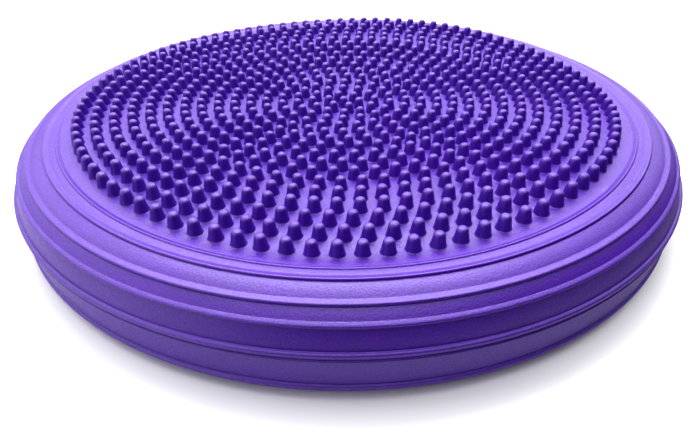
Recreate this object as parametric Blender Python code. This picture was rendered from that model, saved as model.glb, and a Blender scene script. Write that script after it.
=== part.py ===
"""Inflatable balance cushion: a hollow moulded PVC disc with a studded face and a needle valve at its back.

Metres, +Z up. The origin is the centre of the face it rests on, and the valve looks along +Y.
"""

import math

import bmesh
import bpy

# Driving dimensions of the disc, in metres.
RIM_R = 0.1650  # the crest of the parting-line bead, the widest place
PARTING_Z = 0.0214  # the height of that bead's middle
WALL = 0.0028  # PVC skin
BEAD_W = 0.0023  # a moulded bead, from foot to foot
BEAD_H = 0.0008  # how far its crest stands out of the skin

# The studded face: it rises from the middle of the disc to the innermost bead.
FACE_EDGE_Z = 0.0393
FACE_DISH = 0.0159
FACE_LIFT = 0.0088
STUD_PITCH = 0.00828  # between two rings of studs
STUD_RINGS = 16
STUDS_PER_STEP = 6  # each ring has this many studs more than the ring inside it
EXTRA_OUTSIDE = 1  # and the outermost ring has this many more
STUD_BASE_R = 0.0029
STUD_TOP_R = 0.0019
STUD_H = 0.0059
STUD_SINK = 0.0008  # how far a stud's root reaches into the skin
STUD_SIDES = 4
RING_STEP = 4  # one ring in this many stands in for the whole field
RING_STARTS = (0.65, 0.35, 0.45, 0.35)  # where each modelled ring's first stud stands, in studs

# The foot the disc rests on, and the shallow recess inside it.
FOOT_OUTER_R = 0.1510
FOOT_INNER_R = 0.1180
RECESS_R = 0.1130
RECESS_Z = 0.0016
CENTRE_Z = 0.0022

# Feet of the beads on the shoulder and side, outer foot of each: radius and height.
BEAD_A = (0.1424, 0.0395)
BEAD_B = (0.1480, 0.0389)
BEAD_C = (0.1560, 0.0352)
BEAD_D = (0.1605, 0.0304)
# How steeply the skin falls outwards at each of them, in degrees.
SLOPE_A = 3
SLOPE_B = 7
SLOPE_C = 30
SLOPE_D = 58
SIDE_R = 0.1636
PARTING_HALF = 0.0021
LOWER_BEAD_TOP = (0.1630, 0.0079)
LOWER_BEAD_FOOT = (0.1629, 0.0038)

# The valve, measured along its axis from the disc's centre.
VALVE_Z = 0.0137
POCKET_R = 0.0042
POCKET_Y = 0.1606
NECK_R = 0.0060
NECK_END_Y = 0.1495
BORE_R = 0.0032
GAP = 0.0003
FLANGE_R = 0.0038
FLANGE_T = 0.0012
BARREL_R = BORE_R - GAP
BARREL_END_Y = 0.1473
BARB_R = 0.0037
MOUTH_R = 0.0015
MOUTH_END_Y = 0.1565
NEEDLE_R = 0.0005
WEB_T = 0.0010
CORE_POCKET_R = 0.0019
CORE_R = CORE_POCKET_R - GAP
CORE_END_Y = 0.1477
PLUG_HEAD_R = 0.0028
PLUG_HEAD_T = 0.0009
PLUG_RIM_W = 0.0008
PLUG_RIM_H = 0.0006
PLUG_STEM_R = MOUTH_R - GAP
PLUG_TIP_Y = 0.1570

FLANGE_SEAT_Y = POCKET_Y + GAP
FLANGE_FACE_Y = FLANGE_SEAT_Y + FLANGE_T
PLUG_SEAT_Y = FLANGE_FACE_Y + GAP

DISC_STEPS = 64
CAVITY_STEPS = 48
VALVE_STEPS = 24
MERGE = 0.00001


def clear_scene():
    for obj in list(bpy.data.objects):
        bpy.data.objects.remove(obj)


def material(name, color, roughness):
    mat = bpy.data.materials.new(name)
    mat.use_nodes = True
    shader = mat.node_tree.nodes["Principled BSDF"]
    shader.inputs["Base Color"].default_value = (*color, 1.0)
    shader.inputs["Roughness"].default_value = roughness
    shader.inputs["Metallic"].default_value = 0.0
    return mat


def add_object(name, mesh, mat=None):
    obj = bpy.data.objects.new(name, mesh)
    bpy.context.scene.collection.objects.link(obj)
    if mat:
        mesh.materials.append(mat)
    return obj


def turned(name, profile, steps, mat=None):
    """A solid of revolution about the object's Z. The profile runs from the top, down its outer side."""
    mesh = bpy.data.meshes.new(name)
    points = [(r, 0.0, z) for r, z in profile]
    mesh.from_pydata(points, [(i, i + 1) for i in range(len(points) - 1)], [])
    obj = add_object(name, mesh, mat)
    screw = obj.modifiers.new("Screw", "SCREW")
    screw.axis = "Z"
    screw.angle = math.tau
    screw.steps = steps
    screw.render_steps = steps
    screw.use_merge_vertices = True
    screw.merge_threshold = MERGE
    screw.use_smooth_shade = True
    return obj


def as_cutter(obj):
    obj.hide_render = True
    obj.display_type = "WIRE"
    return obj


def combine(obj, other, operation):
    boolean = obj.modifiers.new(operation.title(), "BOOLEAN")
    boolean.operation = operation
    boolean.solver = "EXACT"
    boolean.object = as_cutter(other)


def face_height(radius):
    """The height of the studded face's skin at a radius."""
    share = radius / (STUD_PITCH * STUD_RINGS)
    return FACE_EDGE_Z - FACE_DISH * (1 - share**2) + FACE_LIFT * (1 - share**4)


def bead(outer_foot, slope):
    """Three points of a bead, inner foot to outer foot. The slope is the skin's fall outwards, in degrees."""
    r, z = outer_foot
    fall = math.radians(slope)
    along = (math.cos(fall), -math.sin(fall))
    out = (math.sin(fall), math.cos(fall))
    middle = (r - along[0] * BEAD_W / 2, z - along[1] * BEAD_W / 2)
    return [
        (r - along[0] * BEAD_W, z - along[1] * BEAD_W),
        (middle[0] + out[0] * BEAD_H, middle[1] + out[1] * BEAD_H),
        outer_foot,
    ]


def lower_curve(inset):
    """The rounded edge between the lowest bead and the foot, set in by the inset."""
    r0, z0 = LOWER_BEAD_FOOT
    points = []
    for step in range(1, 4):
        angle = math.pi / 2 * step / 3
        points.append(
            (
                FOOT_OUTER_R + (r0 - inset - FOOT_OUTER_R) * math.cos(angle),
                z0 - (z0 - inset) * math.sin(angle),
            )
        )
    return points


def disc_outline():
    top = [(r, face_height(r)) for r in (0.0, 0.040, 0.075, 0.105, 0.128)]
    parting = [
        (SIDE_R, PARTING_Z + PARTING_HALF),
        (RIM_R, PARTING_Z + PARTING_HALF / 2),
        (RIM_R, PARTING_Z - PARTING_HALF / 2),
        (SIDE_R, PARTING_Z - PARTING_HALF),
    ]
    lower_crest = (
        LOWER_BEAD_TOP[0] + BEAD_H,
        (LOWER_BEAD_TOP[1] + LOWER_BEAD_FOOT[1]) / 2,
    )
    return (
        top
        + bead(BEAD_A, SLOPE_A)
        + bead(BEAD_B, SLOPE_B)
        + bead(BEAD_C, SLOPE_C)
        + bead(BEAD_D, SLOPE_D)
        + parting
        + [LOWER_BEAD_TOP, lower_crest, LOWER_BEAD_FOOT]
        + lower_curve(0.0)
        + [(FOOT_INNER_R, 0.0), (RECESS_R, RECESS_Z), (0.0, CENTRE_Z)]
    )


def cavity_outline():
    """The inside of the skin, one wall thickness in from the outside and without the beads."""
    top = [(r, face_height(r) - WALL) for r in (0.0, 0.050, 0.090, 0.125)]
    return (
        top
        + [
            (BEAD_B[0] - WALL, BEAD_B[1] - WALL),
            (BEAD_C[0] - WALL, BEAD_C[1] - WALL / 2),
            (BEAD_D[0] - WALL, BEAD_D[1]),
            (SIDE_R - WALL, PARTING_Z),
            (LOWER_BEAD_TOP[0] - WALL, LOWER_BEAD_TOP[1]),
        ]
        + lower_curve(WALL)
        + [(RECESS_R, RECESS_Z + WALL), (0.0, CENTRE_Z + WALL)]
    )


def stud_field():
    """One ring of studs in RING_STEP and the stud in the middle, as one guide mesh.

    A stud's angle runs from -Y towards +X.
    """
    mesh = bpy.data.meshes.new("studs")
    shape = bmesh.new()
    height = STUD_H + STUD_SINK
    places = [(0.0, 0.0)]
    for ring, start in zip(range(RING_STEP, STUD_RINGS + 1, RING_STEP), RING_STARTS):
        count = STUDS_PER_STEP * ring
        if ring == STUD_RINGS:
            count += EXTRA_OUTSIDE
        for i in range(count):
            places.append((STUD_PITCH * ring, math.tau * (i + start) / count))
    for radius, angle in places:
        made = bmesh.ops.create_cone(
            shape,
            cap_ends=True,
            segments=STUD_SIDES,
            radius1=STUD_BASE_R,
            radius2=STUD_TOP_R,
            depth=height,
        )
        middle = face_height(radius) - STUD_SINK + height / 2
        shift = (radius * math.sin(angle), -radius * math.cos(angle), middle)
        bmesh.ops.translate(shape, verts=made["verts"], vec=shift)
    shape.to_mesh(mesh)
    shape.free()
    return add_object("studs", mesh)


def valve_frame():
    """An empty at the disc's centre, at the valve's height, whose Z is the valve's axis and points out."""
    empty = bpy.data.objects.new("valve_axis", None)
    bpy.context.scene.collection.objects.link(empty)
    empty.location = (0.0, 0.0, VALVE_Z)
    empty.rotation_euler = (-math.pi / 2, 0.0, 0.0)
    return empty


def on_valve_axis(obj, axis, along):
    obj.parent = axis
    obj.location = (0.0, 0.0, along)
    return obj


def make_cushion(axis, mat):
    skin = turned("cushion_skin", disc_outline(), DISC_STEPS, mat)
    combine(skin, stud_field(), "UNION")

    cavity = turned("air_space", cavity_outline(), CAVITY_STEPS)
    neck_top = RIM_R - NECK_END_Y
    neck = turned(
        "valve_neck",
        [(0.0, neck_top), (NECK_R, neck_top), (NECK_R, 0.0), (0.0, 0.0)],
        VALVE_STEPS,
    )
    on_valve_axis(neck, axis, NECK_END_Y)
    combine(cavity, neck, "DIFFERENCE")
    combine(skin, cavity, "DIFFERENCE")

    mouth_top = RIM_R + BORE_R - POCKET_Y
    bore_end = BARREL_END_Y - BORE_R - POCKET_Y
    bore = turned(
        "valve_bore",
        [
            (0.0, mouth_top),
            (POCKET_R, mouth_top),
            (POCKET_R, 0.0),
            (BORE_R, 0.0),
            (BORE_R, bore_end),
            (0.0, bore_end),
        ],
        VALVE_STEPS,
    )
    on_valve_axis(bore, axis, POCKET_Y)
    combine(skin, bore, "DIFFERENCE")


def make_valve_body(axis, mat):
    """The rubber barrel pressed into the neck: plug mouth, needle hole, then an open pocket for the core."""
    face = FLANGE_T
    mouth = MOUTH_END_Y - FLANGE_SEAT_Y
    web = mouth - WEB_T
    end = BARREL_END_Y - FLANGE_SEAT_Y
    barb = NECK_END_Y - GAP - FLANGE_SEAT_Y
    profile = [
        (NEEDLE_R, mouth),
        (MOUTH_R, mouth),
        (MOUTH_R, face),
        (FLANGE_R - GAP, face),
        (FLANGE_R, face - GAP),
        (FLANGE_R, 0.0),
        (BARREL_R, 0.0),
        (BARREL_R, barb),
        (BARB_R, barb),
        (BARREL_R, end),
        (CORE_POCKET_R, end),
        (CORE_POCKET_R, web),
        (NEEDLE_R, web),
        (NEEDLE_R, mouth),
    ]
    on_valve_axis(turned("valve_body", profile, VALVE_STEPS, mat), axis, FLANGE_SEAT_Y)


def make_valve_core(axis, mat):
    """The soft self-closing core behind the needle hole, with a dimple that guides the needle."""
    top = MOUTH_END_Y - WEB_T - GAP
    length = top - CORE_END_Y
    profile = [
        (0.0, length - 2 * NEEDLE_R),
        (2 * NEEDLE_R, length),
        (CORE_R, length),
        (CORE_R, NEEDLE_R),
        (CORE_R - NEEDLE_R, 0.0),
        (0.0, 0.0),
    ]
    on_valve_axis(turned("valve_core", profile, VALVE_STEPS, mat), axis, CORE_END_Y)


def make_valve_plug(axis, mat):
    """The stopper that is pulled out before the pump's needle goes in."""
    tip = PLUG_TIP_Y - PLUG_SEAT_Y
    rim_top = PLUG_HEAD_T + PLUG_RIM_H
    profile = [
        (0.0, PLUG_HEAD_T),
        (PLUG_HEAD_R - PLUG_RIM_W, PLUG_HEAD_T),
        (PLUG_HEAD_R - PLUG_RIM_W, rim_top),
        (PLUG_HEAD_R - PLUG_RIM_W / 4, rim_top),
        (PLUG_HEAD_R, rim_top - PLUG_RIM_W / 4),
        (PLUG_HEAD_R, 0.0),
        (PLUG_STEM_R, 0.0),
        (PLUG_STEM_R, tip + PLUG_STEM_R / 2),
        (PLUG_STEM_R / 2, tip),
        (0.0, tip),
    ]
    on_valve_axis(turned("valve_plug", profile, VALVE_STEPS, mat), axis, PLUG_SEAT_Y)


def main():
    clear_scene()
    skin_pvc = material("violet_pvc", (0.26, 0.12, 0.68), 0.42)
    valve_rubber = material("valve_rubber", (0.20, 0.09, 0.52), 0.55)
    core_rubber = material("core_rubber", (0.62, 0.60, 0.56), 0.60)
    plug_plastic = material("plug_plastic", (0.24, 0.11, 0.62), 0.40)
    axis = valve_frame()
    make_cushion(axis, skin_pvc)
    make_valve_body(axis, valve_rubber)
    make_valve_core(axis, core_rubber)
    make_valve_plug(axis, plug_plastic)


main()
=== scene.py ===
"""The looks of the inflatable balance cushion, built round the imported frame. Metres, +Z up."""

import math
import random

import bpy
from mathutils import Matrix, Vector
from mathutils.geometry import delaunay_2d_cdt


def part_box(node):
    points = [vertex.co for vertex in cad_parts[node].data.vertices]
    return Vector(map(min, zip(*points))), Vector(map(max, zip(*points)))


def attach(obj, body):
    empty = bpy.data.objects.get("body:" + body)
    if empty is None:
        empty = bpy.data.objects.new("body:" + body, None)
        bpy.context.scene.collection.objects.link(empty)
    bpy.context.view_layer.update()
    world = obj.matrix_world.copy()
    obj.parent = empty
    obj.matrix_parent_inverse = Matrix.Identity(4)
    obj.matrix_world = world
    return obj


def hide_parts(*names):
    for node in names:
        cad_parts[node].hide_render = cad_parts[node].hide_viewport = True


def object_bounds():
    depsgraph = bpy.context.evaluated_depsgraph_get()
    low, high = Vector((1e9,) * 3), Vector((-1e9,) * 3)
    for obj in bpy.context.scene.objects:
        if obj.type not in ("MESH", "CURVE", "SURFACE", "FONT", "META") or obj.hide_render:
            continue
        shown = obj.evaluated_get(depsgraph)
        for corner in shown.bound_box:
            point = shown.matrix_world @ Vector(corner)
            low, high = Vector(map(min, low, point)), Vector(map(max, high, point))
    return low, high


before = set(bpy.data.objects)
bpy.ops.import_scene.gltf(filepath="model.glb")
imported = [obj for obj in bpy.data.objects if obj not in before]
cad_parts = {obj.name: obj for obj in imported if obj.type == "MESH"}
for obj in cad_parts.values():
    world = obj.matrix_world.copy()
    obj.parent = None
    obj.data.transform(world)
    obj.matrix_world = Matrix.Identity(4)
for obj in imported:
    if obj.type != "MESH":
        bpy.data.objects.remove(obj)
cad_low, cad_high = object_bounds()
skin_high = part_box("cushion_skin")[1]
body_low, body_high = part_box("valve_body")

MM = 0.001
RIM_R = skin_high.x
TOP_Z = skin_high.z
SETTLES_ABOVE = 21.6 * MM  # above this height the skin rides on the waves

# The studded face. Rings of studs stand a pitch apart on a shallow dish.
STUD_PITCH = 8.28 * MM
STUD_RINGS = 16
STUDS_PER_STEP = 6  # each ring has this many studs more than the ring inside it
EXTRA_OUTSIDE = 1  # and the outermost ring has this many more
STUD_H = 5.9 * MM
TIP_DROP = 0.23 * MM  # how far the level tips of the outermost ring stay below the top
OUTER_RING_R = STUD_PITCH * STUD_RINGS
FACE_EDGE_Z = TOP_Z - TIP_DROP - STUD_H
FACE_DISH = 15.9 * MM  # how deep the dish would be if it were a parabola
FACE_LIFT = 9.0 * MM  # and how much shallower its flat middle makes it
FIELD_R = 137.0 * MM  # where the studded field ends and the shoulder begins
STUD_SIDES = 16
STUD_LEAN = math.radians(1.1)  # the spread of the studs' random lean
STUD_SWAY = 0.10 * MM  # and of how far they stand off their places

# Where each ring's first stud stands, in studs, from the middle outwards. Only the first two are given.
# The others are a scratch script's matches to the photo, rounded.
RING_STARTS = (
    (0.0, 0.3, 0.0, 0.9, 0.65, 0.85, 0.1, 0.65)
    + (0.35, 0.7, 0.25, 0.6, 0.45, 0.4, 0.05, 0.65, 0.35)
)

# Waves round the face, each with its lobes, height and turn. A scratch script fitted them to the photo.
# They may be an error of the lens or the camera as much as the shape of the filled skin.
WAVES = (
    (1, 0.99 * MM, 2.14),
    (2, 0.80 * MM, 2.97),
    (3, 1.11 * MM, -2.38),
    (4, 0.67 * MM, 2.67),
)

# A stud from its root in the skin to the middle of its cap: radius and height above the skin.
STUD_SHAPE = [
    (3.28, 0.0),
    (3.05, 0.04),
    (2.88, 0.16),
    (2.77, 0.40),
    (2.69, 0.75),
    (2.43, 2.40),
    (2.17, 3.95),
    (2.06, 4.55),
    (1.90, 5.03),
    (1.62, 5.42),
    (1.22, 5.69),
    (0.74, 5.84),
    (0.34, 5.89),
]

# The underside's low nubs, in rings inside the recess.
NUB_PITCH = 15.5 * MM
NUB_RINGS = 6
NUB_R = 4.2 * MM
NUB_ROOT = 0.4 * MM
NUB_H = 1.3 * MM
NUB_LEVELS = 5
NUB_SWELL = 1.5  # above 1, a nub's sides are gentler than a plain dome's
RECESS_FIELD_R = 104.0 * MM
RECESS_Z = 2.2 * MM
RECESS_SAG = 0.6 * MM

# The beads and lips down the side, in millimetres. Each has its start and end as radius and height, how
# far it stands out, its lean, and the bulge and steps of the band of skin before it. The places began as
# a fit to the photo and were then changed.
BEADS = (
    ((140.00, 39.02), (142.42, 39.38), 0.62, 2.6, 0.0, 3),
    ((145.10, 39.30), (148.00, 38.85), 0.90, 2.6, 0.05, 5),
    ((153.60, 36.66), (156.03, 35.15), 1.00, 2.3, 0.30, 9),
    ((159.35, 32.45), (160.50, 30.40), 1.00, 1.6, 0.10, 5),
    ((163.25, 23.30), (163.85, 20.75), 1.25, 0.7, 0.15, 7),  # the parting bead's upper lip
    ((163.85, 20.50), (163.70, 19.35), 0.75, 1.0, 0.0, 1),  # and its lower lip
    ((163.12, 8.30), (163.00, 7.75), -0.50, 1.0, 0.25, 10),  # a groove over the lowest bead
    ((163.00, 7.70), (162.75, 4.90), 1.00, 0.8, 0.0, 1),
)
BEAD_STEPS = 14
BEAD_ROUND = 0.6  # below 1, a bead is fuller than a plain wave

# The flat foot, and the step up into the recess inside it.
FOOT_OUTER_R = 150.0 * MM
FOOT_INNER_R = 118.0 * MM
FOOT_TURN_STEPS = 10
FOOT_STEPS = 8
RECESS_EDGE = (113.0 * MM, 1.5 * MM)
RECESS_STEPS = 6
RECESS_BAND_STEPS = 3

# The valve's pocket in the skin at the back: its rounded lip, as radius and depth below the skin, then
# its well, as radius and distance from the disc's centre.
VALVE_Z = (body_low.z + body_high.z) / 2
POCKET_LIP = [(5.2, 0.0), (4.85, 0.03), (4.55, 0.12), (4.32, 0.32), (4.22, 0.60)]
POCKET_WELL = [
    (4.20, 161.15),
    (4.10, 160.75),
    (3.85, 160.62),
    (3.32, 160.60),
    (3.22, 160.50),
    (3.20, 160.30),
    (3.20, 149.60),
    (3.35, 149.50),
    (4.20, 149.40),
    (4.40, 149.10),
    (4.40, 147.00),
    (4.10, 146.70),
    (0.0, 146.70),
]
NOTCH_HALF = math.radians(26)  # half of what a fingernail notch takes of the plug's edge

# The valve's pieces, each as radius and distance from the disc's centre, from its outer end inwards.
BODY_SHAPE = [
    (0.50, 156.50),
    (0.62, 156.56),
    (1.35, 156.56),
    (1.47, 156.66),
    (1.50, 156.85),
    (1.50, 161.80),
    (1.56, 162.00),
    (1.72, 162.10),
    (2.95, 162.10),
    (3.02, 162.02),
    (3.12, 162.02),
    (3.19, 162.10),
    (3.50, 162.10),
    (3.70, 162.02),
    (3.79, 161.85),
    (3.80, 161.60),
    (3.80, 161.10),
    (3.76, 160.96),
    (3.62, 160.90),
    (3.02, 160.90),
    (2.92, 160.84),
    (2.90, 160.70),
    (2.90, 149.60),
    (2.94, 149.40),
    (3.10, 149.26),
    (3.55, 149.18),
    (3.69, 149.08),
    (3.66, 148.92),
    (3.02, 147.50),
    (2.88, 147.34),
    (2.70, 147.30),
    (2.05, 147.30),
    (1.92, 147.36),
    (1.90, 147.50),
    (1.90, 155.30),
    (1.84, 155.45),
    (1.70, 155.50),
    (0.62, 155.50),
    (0.50, 155.56),
    (0.50, 156.50),
]
CORE_SHAPE = [
    (0.0, 154.20),
    (0.30, 154.28),
    (0.85, 155.08),
    (1.00, 155.17),
    (1.38, 155.20),
    (1.54, 155.14),
    (1.60, 154.98),
    (1.60, 148.30),
    (1.54, 148.02),
    (1.36, 147.80),
    (1.10, 147.70),
    (0.0, 147.70),
]
PLUG_SHAPE = [
    (0.0, 163.22),
    (0.55, 163.23),
    (1.30, 163.27),
    (1.85, 163.34),
    (2.02, 163.42),
    (2.08, 163.60),
    (2.14, 163.78),
    (2.28, 163.88),
    (2.48, 163.90),
    (2.66, 163.84),
    (2.77, 163.70),
    (2.80, 163.50),
    (2.80, 162.62),
    (2.76, 162.46),
    (2.62, 162.40),
    (1.32, 162.40),
    (1.22, 162.34),
    (1.20, 162.20),
    (1.20, 160.60),
    (1.26, 160.46),
    (1.34, 160.30),
    (1.34, 160.10),
    (1.26, 159.94),
    (1.20, 159.80),
    (1.20, 157.90),
    (1.10, 157.45),
    (0.86, 157.15),
    (0.50, 157.03),
    (0.0, 157.00),
]
# The rows of the plug's shape that the notches dip into, and how deep, in millimetres.
PLUG_NOTCHES = {5: 0.05, 6: 0.22, 7: 0.34, 8: 0.36, 9: 0.34, 10: 0.22, 11: 0.08}

# The stretch of the side at the back that is left open for the pocket: its heights, and its half width
# in steps of the turn.
WINDOW_TOP_Z = 19.27 * MM
WINDOW_LOW_Z = 8.42 * MM
WINDOW_HALF = 4

CREASE = 0.10 * MM  # how close to a band's two ends a row stands, so that the shading turns there
MAX_CREASE = 0.25  # but no further in than this share of a short band

# How a field is triangulated: only inside its edge, with points this near, in metres, taken as one.
INSIDE_ONLY = 1
SAME_PLACE = 1e-7

# The floor: white to the camera, and what share of the light it throws back near the cushion and far out.
FLOOR_SIZE = 6.0
FLOOR_GAP = 0.1 * MM
FLOOR_WHITE = 0.92
FLOOR_BOUNCE = 0.74
FLOOR_FAR = 0.08
FLOOR_ROUGH = 0.7
# Where the floor's bounce comes up to full: along an axis, from one place to another.
FLOOR_FADES = (("Y", -0.27, -0.19), ("Y", 0.30, 0.02), ("X", 0.34, 0.02))
# Where the far floor pales into the white behind it, in metres from the middle.
FLOOR_PALES = (0.7, 1.6)

WHITE = (1.0, 1.0, 1.0, 1.0)
MIDDLE = (0.0, 0.0, 0.0)

# The soft lights, each with its place, its width and height and its power. All face the middle. The
# powers began as a fit to the photo's brightness and were then changed.
LIGHTS = (
    ("top", (0.0, 0.0, 1.3), (1.2, 1.0), 6.0),
    ("top_back", (0.0, 0.7, 1.2), (1.4, 0.8), 20.0),
    ("top_front", (0.0, -0.7, 1.2), (1.4, 0.8), 4.5),
    ("back", (0.0, 1.6, 0.8), (2.4, 0.9), 8.0),
    ("top_left", (-0.9, 0.2, 1.1), (0.9, 1.0), 5.0),
    ("top_right", (0.9, 0.2, 1.1), (0.9, 1.0), 4.0),
    ("left", (-1.5, 0.2, 0.6), (1.4, 0.9), 4.5),
    ("left_back", (-1.3, 1.1, 0.5), (1.0, 0.8), 3.2),
    ("right_back", (1.3, 1.1, 0.5), (1.0, 0.8), 4.0),
    ("front_left", (-1.2, -1.0, 0.5), (1.0, 0.8), 5.0),
)

# The camera, fitted to the photo: tipped down by its pitch and turned a little about its own axis.
CAMERA_PLACE = (-0.00616, -0.27073, 0.14842)
CAMERA_PITCH = math.radians(35.12)
CAMERA_ROLL = math.radians(-1.256)
CAMERA_LENS = 27.27
CAMERA_SENSOR = 36.0
CAMERA_SHIFT_X = 0.0219
CAMERA_NEAR = 0.01

# The grain of moulded plastic, and how much its colour and its roughness change with the grain.
GRAIN_DEPTH = 0.14 * MM
GRAIN_SHADE = 0.30
GRAIN_ROUGH = 0.06
COARSE_SHARE = 0.3
MOTTLE_SCALE = 45.0
FINE_SCALE = 0.65
COARSE_SCALE = 0.2
MOTTLE_LOW, MOTTLE_HIGH = 0.3, 0.8
NOISE_LOW, NOISE_HIGH = 0.3, 0.7
EDGE_LOW, EDGE_HIGH = 0.52, 0.62
# the paler colour painted along sharp edges as a highlight
PAINTED_EDGE_HIGHLIGHT = (0.62, 0.50, 0.88, 1.0)
PLASTIC_IOR = 1.52

VIOLET = (0.078, 0.0018, 0.335)
VIOLET_DEEP = (0.070, 0.0015, 0.300)
RUBBER = (0.085, 0.012, 0.36)
RUBBER_DEEP = (0.07, 0.01, 0.31)
PALE_RUBBER = (0.56, 0.54, 0.50)
PALE_RUBBER_DEEP = (0.48, 0.46, 0.42)
PLUG_VIOLET = (0.11, 0.016, 0.46)
PLUG_VIOLET_DEEP = (0.10, 0.013, 0.42)

TURN_STEPS = 384
VALVE_STEPS = 72
SEED = 7


def face_height(r):
    """The height of the studded face's skin at a radius."""
    share = r / OUTER_RING_R
    return FACE_EDGE_Z - FACE_DISH * (1 - share**2) + FACE_LIFT * (1 - share**4)


def settle(x, y, z):
    """A point of the level face, moved up or down by the waves."""
    r = math.hypot(x, y)
    angle = math.atan2(x, -y)
    reach = min(r / OUTER_RING_R, 1.0)
    spread = max(0.0, r - OUTER_RING_R) / (RIM_R - OUTER_RING_R)
    fade = (1 - spread) ** 2
    rise = sum(h * reach**lobes * math.cos(lobes * angle + turn) for lobes, h, turn in WAVES)
    return x, y, z + rise * fade


def recess_height(r):
    """The height of the underside's skin inside the foot."""
    return RECESS_Z - RECESS_SAG * (r / RECESS_FIELD_R) ** 2


# ---------------------------------------------------------------------------------------------------
# The outline of the skin


def band(start, end, bulge, steps):
    """Points after start up to end, along a shallow arc that bulges out by the given height.

    A point stands close to each end, so that the shading turns sharply there.
    """
    (r0, z0), (r1, z1) = start, end
    length = math.hypot(r1 - r0, z1 - z0)
    out = ((z0 - z1) / length, (r1 - r0) / length)
    tight = min(CREASE / length, MAX_CREASE)
    shares = [tight] + [i / steps for i in range(1, steps)] + [1 - tight, 1.0]
    points = []
    for t in shares:
        rise = bulge * 4 * t * (1 - t)
        points.append((r0 + (r1 - r0) * t + out[0] * rise, z0 + (z1 - z0) * t + out[1] * rise))
    return points


def rib(start, end, height, lean):
    """Points after start up to end, over a bead, or down a groove where the height is negative.

    A lean of 1 puts the crest in the middle. A larger one moves it towards the end, so that the bead
    rises gently and drops steeply, and a smaller one moves it towards the start.
    """
    (r0, z0), (r1, z1) = start, end
    length = math.hypot(r1 - r0, z1 - z0)
    out = ((z0 - z1) / length, (r1 - r0) / length)
    points = []
    for i in range(1, BEAD_STEPS + 1):
        t = (1 - math.cos(math.pi * i / BEAD_STEPS)) / 2
        rise = height * max(0.0, math.sin(math.pi * t**lean)) ** BEAD_ROUND
        points.append((r0 + (r1 - r0) * t + out[0] * rise, z0 + (z1 - z0) * t + out[1] * rise))
    return points


def side_outline():
    """The skin's outline from the edge of the studded field, down the shoulder and side, to the recess."""
    points = [(FIELD_R, face_height(FIELD_R))]
    for (r0, z0), (r1, z1), height, lean, bulge, steps in BEADS:
        points.extend(band(points[-1], (r0 * MM, z0 * MM), bulge * MM, steps))
        points.extend(rib(points[-1], (r1 * MM, z1 * MM), height * MM, lean))
    r0, z0 = points[-1]
    for i in range(1, FOOT_TURN_STEPS + 1):
        angle = math.pi / 2 * i / FOOT_TURN_STEPS
        r = FOOT_OUTER_R + (r0 - FOOT_OUTER_R) * math.cos(angle)
        points.append((r, z0 * (1 - math.sin(angle))))
    points.extend(band((FOOT_OUTER_R, 0.0), (FOOT_INNER_R, 0.0), 0.0, FOOT_STEPS))
    points.extend(ease(points[-1], RECESS_EDGE, RECESS_STEPS))
    inner = (RECESS_FIELD_R, recess_height(RECESS_FIELD_R))
    points.extend(band(points[-1], inner, 0.0, RECESS_BAND_STEPS))
    return points


def ease(start, end, steps):
    """Points after start up to end on an S-shaped step."""
    (r0, z0), (r1, z1) = start, end
    points = []
    for i in range(1, steps + 1):
        t = i / steps
        s = t * t * (3 - 2 * t)
        points.append((r0 + (r1 - r0) * t, z0 + (z1 - z0) * s))
    return points


# ---------------------------------------------------------------------------------------------------
# Meshes


def new_mesh_object(name, verts, faces, body, mat):
    """A smooth piece that rides on a body."""
    mesh = bpy.data.meshes.new(name)
    mesh.from_pydata(verts, [], faces)
    mesh.validate()
    mesh.update()
    mesh.shade_smooth()
    mesh.materials.append(mat)
    obj = bpy.data.objects.new(name, mesh)
    bpy.context.scene.collection.objects.link(obj)
    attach(obj, body)
    return obj


def ring_angle(i, count, turn=0.0):
    """The angle of one of the evenly spaced places round a ring, turned on by a share of a step."""
    return math.tau * (i + turn) / count


def ring_points(radius, height, count):
    """A level ring of points round the disc's axis, from -Y towards +X."""
    return [
        (
            radius * math.sin(ring_angle(i, count)),
            -radius * math.cos(ring_angle(i, count)),
            height,
        )
        for i in range(count)
    ]


def stud_places():
    """Every stud's radius and angle, the angle counted from -Y towards +X."""
    places = [(0.0, 0.0)]
    for ring in range(1, STUD_RINGS + 1):
        count = STUDS_PER_STEP * ring
        if ring == STUD_RINGS:
            count += EXTRA_OUTSIDE
        for i in range(count):
            places.append((STUD_PITCH * ring, ring_angle(i, count, RING_STARTS[ring])))
    return places


def stud_rings(radius, angle, rng):
    """The rings of points of one stud, its root first, then its cap's middle point."""
    lean = rng.gauss(0.0, STUD_LEAN)
    lean_to = rng.uniform(0.0, math.tau)
    sway = (rng.gauss(0.0, STUD_SWAY), rng.gauss(0.0, STUD_SWAY))
    x = radius * math.sin(angle) + sway[0]
    y = -radius * math.cos(angle) + sway[1]
    tilt = math.tan(lean)
    rings = []
    for r, h in [*STUD_SHAPE, (0.0, STUD_H / MM)]:
        shift = tilt * h * MM
        cx = x + shift * math.cos(lean_to)
        cy = y + shift * math.sin(lean_to)
        sides = STUD_SIDES if r else 1
        ring = []
        for k in range(sides):
            a = math.tau * k / STUD_SIDES
            px, py = cx + r * MM * math.cos(a), cy + r * MM * math.sin(a)
            ring.append((px, py, face_height(math.hypot(px, py)) + h * MM))
        rings.append(ring)
    return rings


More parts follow.
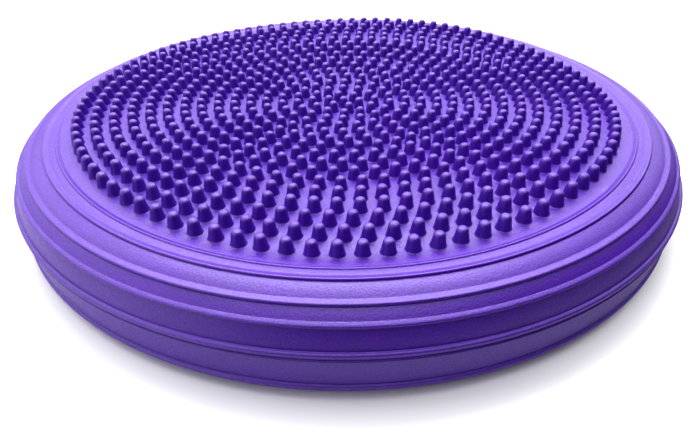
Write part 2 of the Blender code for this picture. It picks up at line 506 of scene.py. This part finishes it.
def nub_rings(radius, angle):
    """The rings of points of one low nub on the underside, from a flat ring round its root."""
    x, y = radius * math.sin(angle), -radius * math.cos(angle)
    rings = []
    for level in range(-1, NUB_LEVELS + 1):
        t = max(level, 0) / NUB_LEVELS
        r = NUB_R * math.cos(math.pi / 2 * t)
        if level < 0:
            r += NUB_ROOT
        drop = NUB_H * math.sin(math.pi / 2 * t) ** NUB_SWELL
        sides = STUD_SIDES if level < NUB_LEVELS else 1
        ring = []
        for k in range(sides):
            a = math.tau * k / STUD_SIDES
            px, py = x + r * math.cos(a), y + r * math.sin(a)
            ring.append((px, py, recess_height(math.hypot(px, py)) - drop))
        rings.append(ring)
    return rings


def pocket_rings(side):
    """The rings of the valve's pocket, from its edge on the skin to the middle of its closed end.

    The side is the skin's outline there, as radius and height from the top down.
    """

    def on_skin(x, z):
        for (r0, z0), (r1, z1) in zip(side, side[1:]):
            if z0 >= z >= z1:
                r = r0 + (r1 - r0) * (z0 - z) / (z0 - z1)
                return math.sqrt(r * r - x * x)
        raise ValueError("the pocket leaves the side")

    def circle(r):
        return [
            (r * math.cos(ring_angle(k, VALVE_STEPS)), VALVE_Z + r * math.sin(ring_angle(k, VALVE_STEPS)))
            for k in range(VALVE_STEPS)
        ]

    rings = []
    for r, drop in POCKET_LIP:
        rings.append([(x, on_skin(x, z) - drop * MM, z) for x, z in circle(r * MM)])
    for r, y in POCKET_WELL:
        if r:
            rings.append([(x, y * MM, z) for x, z in circle(r * MM)])
        else:
            rings.append([(0.0, y * MM, VALVE_Z)])
    return rings


class Surface:
    """Vertices and faces that grow piece by piece."""

    def __init__(self):
        self.verts = []
        self.faces = []

    def add(self, points):
        """Adds points and returns their numbers."""
        first = len(self.verts)
        self.verts.extend(points)
        return list(range(first, len(self.verts)))

    def loft(self, lower, upper, flip=False, skipped=()):
        """Quads between two closed rings of as many points, or triangles up to a single point."""
        n = len(lower)
        for k in range(n):
            if k in skipped:
                continue
            a, b = lower[k], lower[(k + 1) % n]
            if len(upper) == 1:
                face = (a, b, upper[0])
            else:
                face = (a, b, upper[(k + 1) % n], upper[k])
            self.faces.append(face[::-1] if flip else face)

    def field(self, edge, roots, flip=False, plane=(0, 1)):
        """Triangles between the edge ring and the rings of what stands inside it, laid out on a plane."""
        rings = [edge, *roots]
        ids = [i for ring in rings for i in ring]
        owner = [k for k, ring in enumerate(rings) for _ in ring]
        flat = [Vector([self.verts[i][k] for k in plane]) for i in ids]
        lines = []
        start = 0
        for ring in rings:
            n = len(ring)
            lines.extend((start + k, start + (k + 1) % n) for k in range(n))
            start += n
        made = delaunay_2d_cdt(flat, lines, [], INSIDE_ONLY, SAME_PLACE)
        points, triangles, sources = made[0], made[2], made[3]
        if len(points) != len(flat):
            raise ValueError("two rings of the field touch")
        back = [ids[s[0]] for s in sources]
        own = [owner[s[0]] for s in sources]
        for tri in triangles:
            kinds = {own[i] for i in tri}
            if len(kinds) == 1 and kinds != {0}:
                continue
            a, b, c = (points[i] for i in tri)
            up = (b - a).cross(c - a) > 0
            face = tuple(back[i] for i in tri)
            self.faces.append(face if up != flip else face[::-1])


def stud_field(surface, edge):
    """The studded face inside its edge, at its level height."""
    rng = random.Random(SEED)
    roots = []
    for radius, angle in stud_places():
        rings = [surface.add(ring) for ring in stud_rings(radius, angle, rng)]
        roots.append(rings[0])
        for lower, upper in zip(rings, rings[1:]):
            surface.loft(lower, upper)
    surface.field(edge, roots)


def nub_field(surface, edge):
    """The underside's recess inside its edge, with its nubs."""
    roots = []
    for ring in range(NUB_RINGS + 1):
        count = max(1, STUDS_PER_STEP * ring)
        for i in range(count):
            rings = [surface.add(p) for p in nub_rings(NUB_PITCH * ring, ring_angle(i, count))]
            roots.append(rings[0])
            for lower, upper in zip(rings, rings[1:]):
                surface.loft(lower, upper, flip=True)
    surface.field(edge, roots, flip=True)


def side_and_pocket(surface, outline, rows):
    """The skin between its rows, with a window at the back where the valve's pocket goes in."""
    first = next(i for i, (r, z) in enumerate(outline) if z < WINDOW_TOP_Z)
    last = next(i for i, (r, z) in enumerate(outline) if z < WINDOW_LOW_Z)
    back = TURN_STEPS // 2
    window = range(back - WINDOW_HALF, back + WINDOW_HALF)
    for i, (upper, lower) in enumerate(zip(rows, rows[1:])):
        skipped = window if first <= i < last else ()
        surface.loft(lower, upper, skipped=skipped)
    window_edge = [rows[first][k] for k in range(window.start, window.stop)]
    window_edge += [rows[i][window.stop] for i in range(first, last)]
    window_edge += [rows[last][k] for k in range(window.stop, window.start, -1)]
    window_edge += [rows[i][window.start] for i in range(last, first, -1)]
    pocket = [surface.add(ring) for ring in pocket_rings(outline[first : last + 1])]
    surface.field(window_edge, [pocket[0]], flip=True, plane=(0, 2))
    for outer, inner in zip(pocket, pocket[1:]):
        surface.loft(outer, inner, flip=True)


def skin_surface():
    """The whole skin: studded face, side, foot, recess and the valve's pocket."""
    surface = Surface()
    outline = side_outline()
    rows = [surface.add(ring_points(r, z, TURN_STEPS)) for r, z in outline]
    stud_field(surface, rows[0])
    surface.verts = [settle(*v) if v[2] > SETTLES_ABOVE else v for v in surface.verts]
    nub_field(surface, rows[-1])
    side_and_pocket(surface, outline, rows)
    return surface


# ---------------------------------------------------------------------------------------------------
# Materials


class Nodes:
    """A short way to write a material's nodes."""

    def __init__(self, name):
        self.mat = bpy.data.materials.new(name)
        self.mat.use_nodes = True
        self.tree = self.mat.node_tree
        self.shader = self.tree.nodes["Principled BSDF"]

    def add(self, kind, inputs=None, **settings):
        """A new node with its settings and inputs, each a value or another node's output."""
        node = self.tree.nodes.new(kind)
        for key, value in settings.items():
            setattr(node, key, value)
        for key, value in (inputs or {}).items():
            self.feed(node, key, value)
        return node

    def feed(self, node, key, value):
        if isinstance(value, bpy.types.NodeSocket):
            self.tree.links.new(value, node.inputs[key])
        else:
            node.inputs[key].default_value = value

    def set(self, **inputs):
        """Feeds the material's own shader."""
        for key, value in inputs.items():
            self.feed(self.shader, key.replace("_", " "), value)


def moulded(name, color, deep, roughness, grain, grain_size, edge_highlight_and_wear=0.12, level=0.5):
    """Soft moulded plastic: a fine sandblasted grain, faint mottling, scuffed edges with a painted
    highlight, and a satin sheen.

    The grain's size is in metres. The sharpest edges get a paler colour as a painted highlight, and
    scuffing makes them a little smoother.
    """
    n = Nodes(name)
    place = n.add("ShaderNodeTexCoord").outputs["Object"]
    mottle = n.add("ShaderNodeTexNoise", {"Vector": place, "Scale": MOTTLE_SCALE, "Detail": 3.0})
    fine = n.add(
        "ShaderNodeTexNoise",
        {"Vector": place, "Scale": FINE_SCALE / grain_size, "Detail": 2.0, "Roughness": 0.6},
    )
    coarse = n.add(
        "ShaderNodeTexNoise",
        {"Vector": place, "Scale": COARSE_SCALE / grain_size, "Detail": 2.0},
    )
    spread = n.add(
        "ShaderNodeMapRange",
        {"Value": mottle.outputs["Fac"], "From Min": MOTTLE_LOW, "From Max": MOTTLE_HIGH},
    )
    tint = n.add(
        "ShaderNodeMix",
        {0: spread.outputs["Result"], 6: (*color, 1.0), 7: (*deep, 1.0)},
        data_type="RGBA",
    )
    speck = n.add(
        "ShaderNodeMapRange",
        {
            "Value": fine.outputs["Fac"],
            "From Min": NOISE_LOW,
            "From Max": NOISE_HIGH,
            "To Min": 1 - GRAIN_SHADE * grain,
            "To Max": 1 + GRAIN_SHADE * grain,
        },
    )
    shade = n.add(
        "ShaderNodeHueSaturation",
        {"Color": tint.outputs[2], "Value": speck.outputs["Result"]},
    )
    sharp = n.add("ShaderNodeNewGeometry").outputs["Pointiness"]
    edge = n.add("ShaderNodeMapRange", {"Value": sharp, "From Min": EDGE_LOW, "From Max": EDGE_HIGH})
    broken = n.add(
        "ShaderNodeMath",
        {0: edge.outputs["Result"], 1: coarse.outputs["Fac"]},
        operation="MULTIPLY",
    )
    # how strongly the sharpest edges take the painted highlight, and how much smoother scuffing makes them
    highlight_and_wear_mask = n.add("ShaderNodeMath", {0: broken.outputs[0], 1: edge_highlight_and_wear}, operation="MULTIPLY")
    # the colour, painted paler on sharp edges as a highlight
    with_painted_highlight = n.add(
        "ShaderNodeMix",
        {0: highlight_and_wear_mask.outputs[0], 6: shade.outputs["Color"], 7: PAINTED_EDGE_HIGHLIGHT},
        data_type="RGBA",
    )
    rough = n.add(
        "ShaderNodeMapRange",
        {
            "Value": fine.outputs["Fac"],
            "From Min": NOISE_LOW,
            "From Max": NOISE_HIGH,
            "To Min": roughness + GRAIN_ROUGH,
            "To Max": roughness - GRAIN_ROUGH,
        },
    )
    polish = n.add(
        "ShaderNodeMath",
        {0: rough.outputs["Result"], 1: highlight_and_wear_mask.outputs[0]},
        operation="SUBTRACT",
    )
    height = n.add(
        "ShaderNodeMath",
        {0: coarse.outputs["Fac"], 1: COARSE_SHARE, 2: fine.outputs["Fac"]},
        operation="MULTIPLY_ADD",
    )
    bump = n.add(
        "ShaderNodeBump",
        {"Strength": grain, "Distance": GRAIN_DEPTH, "Height": height.outputs[0]},
    )
    n.set(
        Base_Color=with_painted_highlight.outputs[2],
        Roughness=polish.outputs[0],
        Normal=bump.outputs["Normal"],
        IOR=PLASTIC_IOR,
        Specular_IOR_Level=level,
    )
    return n.mat


# ---------------------------------------------------------------------------------------------------
# The valve


def turned_piece(name, profile, body, mat, notches=None):
    """A piece turned about the valve's axis, its profile in millimetres: radius, distance along +Y.

    The profile runs from the outer end over the outside to the inner end. The notches, if any, are the
    rows of the profile that dip, and how deep.
    """
    surface = Surface()
    rows = []
    for i, (r, out) in enumerate(profile):
        if r == 0.0:
            rows.append(surface.add([(0.0, out * MM, VALVE_Z)]))
            continue
        ring = []
        for k in range(VALVE_STEPS):
            angle = ring_angle(k, VALVE_STEPS)
            dip = notches[i] * notch_share(angle) if notches and i in notches else 0.0
            ring.append((r * MM * math.cos(angle), (out - dip) * MM, VALVE_Z + r * MM * math.sin(angle)))
        rows.append(surface.add(ring))
    for upper, lower in zip(rows, rows[1:]):
        if len(upper) == 1:
            surface.loft(lower, upper)
        else:
            surface.loft(upper, lower, flip=True)
    return new_mesh_object(name, surface.verts, surface.faces, body, mat)


def notch_share(angle):
    """How far a fingernail notch dips at an angle, from 0 to 1. There is one on each side."""
    away = abs(math.remainder(angle, math.pi)) / NOTCH_HALF
    return max(0.0, 1 - away**4)


# ---------------------------------------------------------------------------------------------------
# The stage


def floor_material():
    """White to the camera. What it throws back fades away in front, behind and to the right.

    Far out it glows, to the camera alone, until it is as white as what is behind it.
    """
    n = Nodes("floor_white")
    place = n.add("ShaderNodeTexCoord").outputs["Object"]
    apart = n.add("ShaderNodeSeparateXYZ", {"Vector": place})
    level = FLOOR_BOUNCE
    for axis, start, end in FLOOR_FADES:
        fade = n.add(
            "ShaderNodeMapRange",
            {
                "Value": apart.outputs[axis],
                "From Min": start,
                "From Max": end,
                "To Min": FLOOR_FAR,
                "To Max": 1.0,
            },
            interpolation_type="SMOOTHSTEP",
        )
        shared = n.add("ShaderNodeMath", {0: level, 1: fade.outputs["Result"]}, operation="MULTIPLY")
        level = shared.outputs[0]
    path = n.add("ShaderNodeLightPath")
    seen = n.add(
        "ShaderNodeMapRange",
        {"Value": path.outputs["Is Camera Ray"], "To Min": level, "To Max": FLOOR_WHITE},
    )
    away = n.add("ShaderNodeVectorMath", {0: place}, operation="LENGTH")
    paling = n.add(
        "ShaderNodeMapRange",
        {"Value": away.outputs["Value"], "From Min": FLOOR_PALES[0], "From Max": FLOOR_PALES[1]},
        interpolation_type="SMOOTHSTEP",
    )
    glow = n.add(
        "ShaderNodeMath",
        {0: paling.outputs["Result"], 1: path.outputs["Is Camera Ray"]},
        operation="MULTIPLY",
    )
    n.set(
        Base_Color=seen.outputs["Result"],
        Roughness=FLOOR_ROUGH,
        Specular_IOR_Level=0.0,
        Emission_Color=WHITE,
        Emission_Strength=glow.outputs[0],
    )
    return n.mat


def make_floor():
    """A wide floor just under the cushion's foot."""
    mesh = bpy.data.meshes.new("floor")
    far = FLOOR_SIZE
    corners = [(-far, -far, 0.0), (far, -far, 0.0), (far, far, 0.0), (-far, far, 0.0)]
    mesh.from_pydata(corners, [], [(0, 1, 2, 3)])
    mesh.materials.append(floor_material())
    floor = bpy.data.objects.new("floor", mesh)
    bpy.context.scene.collection.objects.link(floor)
    floor.location.z = cad_low.z - FLOOR_GAP


def soft_light(name, place, size, power):
    """A rectangular light that faces the middle and isn't seen itself."""
    data = bpy.data.lights.new(name, "AREA")
    data.shape = "RECTANGLE"
    data.size, data.size_y = size
    data.energy = power
    light = bpy.data.objects.new(name, data)
    bpy.context.scene.collection.objects.link(light)
    light.location = place
    light.rotation_euler = (Vector(MIDDLE) - Vector(place)).to_track_quat("-Z", "Y").to_euler()
    light.visible_camera = False


def make_world():
    """White to the camera, and no light from it."""
    world = bpy.data.worlds.new("studio")
    world.use_nodes = True
    tree = world.node_tree
    background = tree.nodes["Background"]
    background.inputs["Color"].default_value = WHITE
    path = tree.nodes.new("ShaderNodeLightPath")
    tree.links.new(path.outputs["Is Camera Ray"], background.inputs["Strength"])
    bpy.context.scene.world = world


def make_camera():
    """The camera, where the fit puts the photo's."""
    data = bpy.data.cameras.new("camera")
    data.sensor_width = CAMERA_SENSOR
    data.lens = CAMERA_LENS
    data.shift_x = CAMERA_SHIFT_X
    data.clip_start = CAMERA_NEAR
    camera = bpy.data.objects.new("camera", data)
    bpy.context.scene.collection.objects.link(camera)
    tip = Matrix.Rotation(math.pi / 2 - CAMERA_PITCH, 4, "X")
    turn = tip @ Matrix.Rotation(CAMERA_ROLL, 4, "Z")
    camera.matrix_world = Matrix.Translation(CAMERA_PLACE) @ turn
    bpy.context.scene.camera = camera


make_camera()
make_world()
for name, place, size, power in LIGHTS:
    soft_light(name, place, size, power)
make_floor()

violet = moulded("violet_pvc_skin", VIOLET, VIOLET_DEEP, 0.46, 1.0, 0.40 * MM, level=1.0)
rubber = moulded("valve_rubber_violet", RUBBER, RUBBER_DEEP, 0.50, 0.4, 0.25 * MM)
pale_rubber = moulded("core_rubber_pale", PALE_RUBBER, PALE_RUBBER_DEEP, 0.58, 0.4, 0.2 * MM)
plastic = moulded("plug_plastic_violet", PLUG_VIOLET, PLUG_VIOLET_DEEP, 0.34, 0.25, 0.2 * MM)

made = skin_surface()
skin = new_mesh_object("cushion_skin_soft", made.verts, made.faces, "cushion", violet)
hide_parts("cushion_skin")

barrel = turned_piece("valve_body_rubber", BODY_SHAPE, "cushion", rubber)
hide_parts("valve_body")
core = turned_piece("valve_core_rubber", CORE_SHAPE, "cushion", pale_rubber)
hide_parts("valve_core")
plug = turned_piece("valve_plug_stopper", PLUG_SHAPE, "plug", plastic, PLUG_NOTCHES)
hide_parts("valve_plug")

scene = bpy.context.scene
scene.view_settings.view_transform = "Standard"
scene.view_settings.look = "High Contrast"
